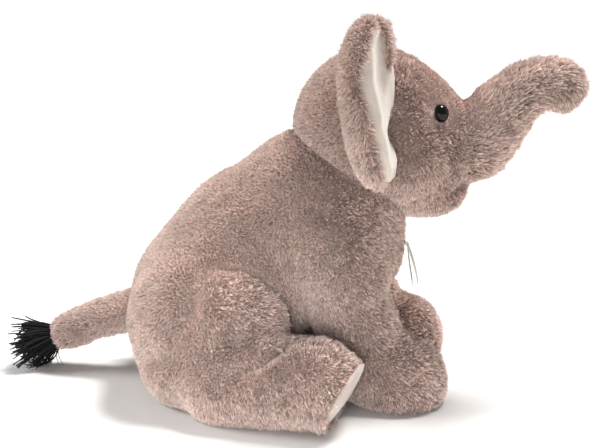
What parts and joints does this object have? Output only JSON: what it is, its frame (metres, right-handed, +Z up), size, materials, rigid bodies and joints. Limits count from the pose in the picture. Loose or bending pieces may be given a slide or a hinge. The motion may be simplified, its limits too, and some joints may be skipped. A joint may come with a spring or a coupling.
{
  "type": "stuffed elephant toy",
  "caption": "Seated plush elephant with raised curled trunk, cupped velour-lined ears, leaning body, splayed hind feet with pale soles and a tufted tail.",
  "frame": {"origin": "on the floor, in the middle plane, under the seat's flat bottom", "axes": "+Z up, +X where the elephant faces, +Y its left"},
  "size_m": [0.4168, 0.248, 0.263],
  "materials": {
    "plush": "matte",
    "ear_velour": "matte",
    "sole_velour": "matte",
    "tuft_yarn": "matte",
    "eye_black": "gloss",
    "washer_plastic": "matte",
    "stuffing": "matte",
    "pouch_cloth": "matte",
    "pellets": "satin",
    "thread": "matte",
    "cord": "matte",
    "label_ribbon": "satin",
    "tag_card": "matte"
  },
  "bodies": {
    "torso": {"torso_cover": "plush", "torso_filling": "stuffing", "pellet_pouch": "pouch_cloth", "pellet_fill": "pellets", "closing_thread": "thread", "care_label": "label_ribbon"},
    "neck": {"neck_filling": "stuffing"},
    "head": {"head_cover": "plush", "head_filling": "stuffing", "eye_right": "eye_black", "eye_left": "eye_black", "eye_washer_right": "washer_plastic", "eye_washer_left": "washer_plastic"},
    "trunk": {"trunk_cover": "plush", "trunk_filling": "stuffing"},
    "ear_right": {"ear_right_back": "plush", "ear_right_lining": "ear_velour"},
    "ear_left": {"ear_left_back": "plush", "ear_left_lining": "ear_velour"},
    "tail": {"tail_cover": "plush", "tail_filling": "stuffing"},
    "tuft": {"tail_tuft": "tuft_yarn"},
    "foreleg_right": {"foreleg_right_cover": "plush", "foreleg_right_filling": "stuffing", "foreleg_right_sole": "sole_velour"},
    "foreleg_left": {"foreleg_left_cover": "plush", "foreleg_left_filling": "stuffing", "foreleg_left_sole": "sole_velour"},
    "hindleg_right": {"hindleg_right_cover": "plush", "hindleg_right_filling": "stuffing", "hindleg_right_sole": "sole_velour"},
    "hindleg_left": {"hindleg_left_cover": "plush", "hindleg_left_filling": "stuffing", "hindleg_left_sole": "sole_velour"},
    "tag": {"tag_cord": "cord", "hang_tag": "tag_card"}
  },
  "joints": [
    {"name": "head_nod", "type": "hinge", "parent": "torso", "child": "neck", "pos_m": [0.099, 0, 0.153], "axis": [0, 1, 0], "range_deg": [-10, 10]},
    {"name": "head_turn", "type": "hinge", "parent": "neck", "child": "head", "pos_m": [0.099, 0, 0.153], "axis": [0.7262, 0, 0.6875], "range_deg": [-15, 15]},
    {"name": "trunk_bend", "type": "hinge", "parent": "head", "child": "trunk", "pos_m": [0.158, 0, 0.175], "axis": [0, 1, 0], "range_deg": [-12, 10]},
    {"name": "ear_right_flap", "type": "hinge", "parent": "head", "child": "ear_right", "pos_m": [0.129, -0.059, 0.209], "axis": [0, 0, 1], "range_deg": [-3, 20]},
    {"name": "ear_left_flap", "type": "hinge", "parent": "head", "child": "ear_left", "pos_m": [0.129, 0.059, 0.209], "axis": [0, 0, -1], "range_deg": [-3, 20]},
    {"name": "tail_lift", "type": "hinge", "parent": "torso", "child": "tail", "pos_m": [-0.06, 0, 0.049], "axis": [0, 1, 0], "range_deg": [-12, 12]},
    {"name": "tuft_swing", "type": "hinge", "parent": "tail", "child": "tuft", "pos_m": [-0.119, 0, 0.028], "axis": [0, 1, 0], "range_deg": [-15, 15]},
    {"name": "foreleg_right_swing", "type": "hinge", "parent": "torso", "child": "foreleg_right", "pos_m": [0.085, -0.036, 0.108], "axis": [0, -1, 0], "range_deg": [-4, 20]},
    {"name": "foreleg_left_swing", "type": "hinge", "parent": "torso", "child": "foreleg_left", "pos_m": [0.085, 0.036, 0.108], "axis": [0, -1, 0], "range_deg": [-4, 20]},
    {"name": "hindleg_right_lift", "type": "hinge", "parent": "torso", "child": "hindleg_right", "pos_m": [0.008, -0.046, 0.05], "axis": [0, -1, 0], "range_deg": [0, 16]},
    {"name": "hindleg_left_lift", "type": "hinge", "parent": "torso", "child": "hindleg_left", "pos_m": [0.008, 0.046, 0.05], "axis": [0, -1, 0], "range_deg": [0, 16]},
    {"name": "tag_swing", "type": "hinge", "parent": "torso", "child": "tag", "pos_m": [0.1315, 0, 0.111], "axis": [0, -1, 0], "range_deg": [0, 30]}
  ]
}
